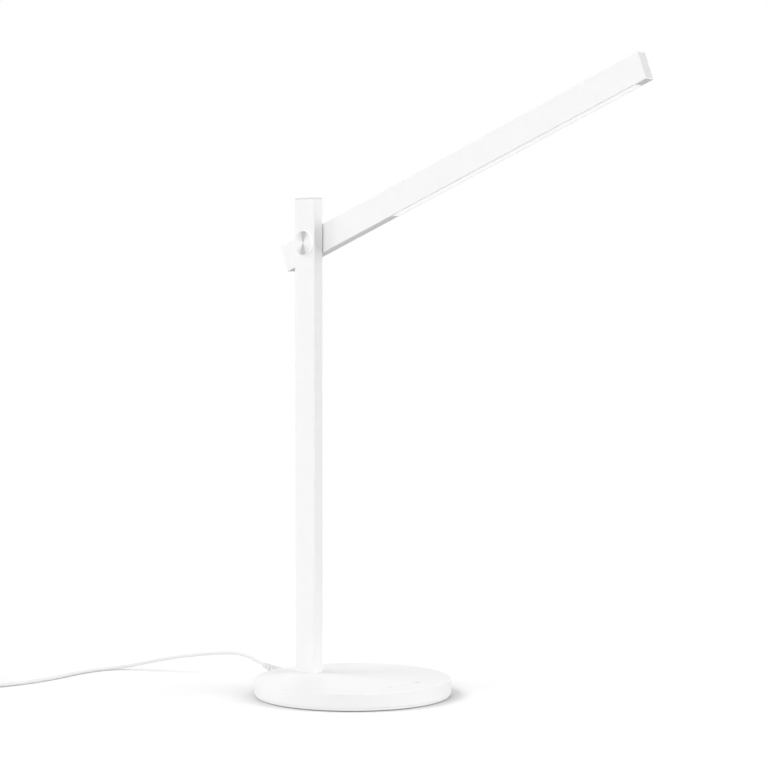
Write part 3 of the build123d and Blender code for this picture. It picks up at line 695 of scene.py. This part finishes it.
def make_contacts(plug_start):
    """Four gold strips on the tongue, in the gap that the socket's own tongue enters."""
    builder = bmesh.new()
    tongue_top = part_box("plug_tongue")[1][2]
    tip = plug_start + coil_along * (plug_collar_length + plug_length + usb_length - usb_tongue_setback)
    tip.z = tongue_top
    for place in contact_places:
        rings = []
        for back in (contact_tip_gap, contact_tip_gap + contact_length):
            at = tip + coil_side * place - coil_along * back
            half = coil_side * contact_width / 2
            rise = UP * contact_height
            rings.append([at - half, at + half, at + half + rise, at - half + rise])
        tube_of(builder, rings)
    return mesh_piece("plug_contacts", builder)


# Touch marks
def plate(builder, outline, place):
    """Thin flat plate on the base, from points to the user's right and away from the user."""
    base_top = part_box("base_shell")[1][2]
    rings = []
    for height in (0, mark_height):
        rings.append([Vector((mark_x - away, place + right, base_top + height)) for right, away in outline])
    tube_of(builder, rings)


def line_mark(builder, start, end, place):
    """Stroke with round ends."""
    start, end = Vector(start), Vector(end)
    lean = math.atan2(end.y - start.y, end.x - start.x)
    outline = []
    for centre, first in ((end, lean - math.pi / 2), (start, lean + math.pi / 2)):
        for k in range(mark_end_steps + 1):
            turn = first + math.pi * k / mark_end_steps
            outline.append(centre + unit(turn) * mark_line / 2)
    plate(builder, outline, place)


def angles(first, last, steps):
    """Angles in radians from one to another in degrees, both ends included."""
    return [math.radians(first + (last - first) * k / steps) for k in range(steps + 1)]


def arc_mark(builder, radius, first, last, place):
    """Stroke along an arc, between two angles in degrees."""
    turns = angles(first, last, mark_arc_steps)
    outline = [unit(turn) * (radius + mark_line / 2) for turn in turns]
    outline += [unit(turn) * (radius - mark_line / 2) for turn in reversed(turns)]
    plate(builder, outline, place)


def disc_mark(builder, radius, first, last, place):
    """Filled disc or part of one, between two angles in degrees."""
    turns = angles(first, last, mark_disc_steps)
    if last - first == FULL_TURN:
        turns.pop()
    plate(builder, [unit(turn) * radius for turn in turns], place)


def make_marks():
    """Signs for dimmer, switch and shade of white, in a row across the base."""
    builder = bmesh.new()
    disc_mark(builder, mark_dot_radius, 0, FULL_TURN, -mark_pitch)
    for k in range(mark_ray_count):
        ray = unit(2 * math.pi * k / mark_ray_count)
        line_mark(builder, ray * mark_ray_start, ray * mark_radius, -mark_pitch)
    up, down = QUARTER_TURN, FULL_TURN - QUARTER_TURN
    arc_mark(builder, mark_radius, up + mark_gap_angle, up + FULL_TURN - mark_gap_angle, 0)
    line_mark(builder, (0, mark_stroke_foot), (0, mark_stroke_top), 0)
    arc_mark(builder, mark_radius, up, down, mark_pitch)
    disc_mark(builder, mark_radius, -up, up, mark_pitch)
    return mesh_piece("touch_marks", builder)


# Pieces that only the scene has
points = cord_points()
plug_start = points[-1]
cord_flex = make_cord(points)
dress(cord_flex, slot_finish["cord_plastic"])
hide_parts("cord", "cord_coil", "cord_tail")

plug_ridges = make_ridges(plug_start)
dress(plug_ridges, slot_finish["plug_plastic"])
plug_contacts = make_contacts(plug_start)
dress(plug_contacts, slot_finish["contact_gold"])

tie_low, tie_high = (Vector(corner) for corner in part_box("cord_tie"))
coil_strap = make_strap((tie_low + tie_high) / 2)
dress(coil_strap, slot_finish["tie_fabric"])
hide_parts("cord_tie")

touch_marks = make_marks()
dress(touch_marks, slot_finish["mark_print"])


# Studio
def seen_directly(tree):
    """1 where the camera, a reflection or a refraction looks, and 0 for diffuse light."""
    path = tree.nodes.new("ShaderNodeLightPath")
    total = path.outputs["Is Camera Ray"]
    for name in ("Is Glossy Ray", "Is Transmission Ray"):
        larger = tree.nodes.new("ShaderNodeMath")
        larger.operation = "MAXIMUM"
        tree.links.new(total, larger.inputs[0])
        tree.links.new(path.outputs[name], larger.inputs[1])
        total = larger.outputs["Value"]
    return total


def mixed(tree, unseen, seen, out):
    """Ends a tree with one shader for diffuse light and another for what is seen."""
    mix = tree.nodes.new("ShaderNodeMixShader")
    tree.links.new(seen_directly(tree), mix.inputs["Fac"])
    tree.links.new(unseen.outputs[0], mix.inputs[1])
    tree.links.new(seen.outputs[0], mix.inputs[2])
    tree.links.new(mix.outputs["Shader"], out.inputs["Surface"])


def make_world():
    """White to look at, a little brighter in reflections, and a dimmer dome for light."""
    world = bpy.data.worlds.new("studio")
    world.use_nodes = True
    tree = world.node_tree
    tree.nodes.clear()
    dome = tree.nodes.new("ShaderNodeBackground")
    dome.inputs["Color"].default_value = (*grey(dome_light), 1)
    shown = tree.nodes.new("ShaderNodeBackground")
    shown.inputs["Color"].default_value = (*grey(1), 1)
    path = tree.nodes.new("ShaderNodeLightPath")
    vary(tree, path.outputs["Is Camera Ray"], shown.inputs["Strength"], reflected_white, shown_white)
    mixed(tree, dome, shown, tree.nodes.new("ShaderNodeOutputWorld"))
    bpy.context.scene.world = world


def make_floor():
    """White, a little deeper in shade close to what stands on it."""
    builder = bmesh.new()
    bmesh.ops.create_circle(builder, cap_ends=True, radius=floor_radius, segments=floor_segments)
    floor = mesh_piece("floor", builder)
    material = bpy.data.materials.new("floor_white")
    material.use_nodes = True
    tree = material.node_tree
    tree.nodes.clear()
    bounce = tree.nodes.new("ShaderNodeBsdfDiffuse")
    behind = tree.nodes.new("ShaderNodeVectorMath")
    behind.operation = "DOT_PRODUCT"
    behind.inputs[1].default_value = behind_way / bounce_fade
    tree.links.new(placed(tree), behind.inputs[0])
    vary(tree, behind.outputs["Value"], bounce.inputs["Color"], front_bounce, back_bounce)
    shown = tree.nodes.new("ShaderNodeBsdfDiffuse")
    openness = tree.nodes.new("ShaderNodeAmbientOcclusion")
    openness.inputs["Distance"].default_value = shade_reach
    openness.samples = shade_samples
    vary(tree, openness.outputs["AO"], shown.inputs["Color"], floor_shaded, floor_white)
    mixed(tree, bounce, shown, tree.nodes.new("ShaderNodeOutputMaterial"))
    floor.data.materials.append(material)


def make_lamp(name, towards, share, spread):
    """Wide distant lamp that reflections don't show."""
    data = bpy.data.lights.new(name, "SUN")
    data.energy = share * math.pi
    data.angle = math.radians(spread)
    lamp = link(name, data)
    lamp.rotation_euler = Vector(towards).to_track_quat("Z", "Y").to_euler()
    lamp.visible_glossy = False


def make_flag():
    """Dark board beside the camera's view, which only reflections show."""
    builder = bmesh.new()
    way = Vector((flag_place.x, flag_place.y, 0)).normalized()
    side = way.cross(UP) * flag_width / 2
    rise = UP * flag_height / 2
    corners = [-side - rise, side - rise, side + rise, rise - side]
    builder.faces.new([builder.verts.new(flag_place + corner) for corner in corners])
    flag = mesh_piece("dark_flag", builder)
    material, _, shader = new_material("flag_black")
    shader.inputs["Base Color"].default_value = (*grey(flag_dark), 1)
    flag.data.materials.append(material)
    flag.visible_camera = False
    flag.visible_diffuse = False
    flag.visible_shadow = False


# Setting up
make_camera()
make_world()
make_floor()
make_flag()
for lamp in lamps:
    make_lamp(*lamp)
bpy.context.scene.view_settings.view_transform = "Standard"
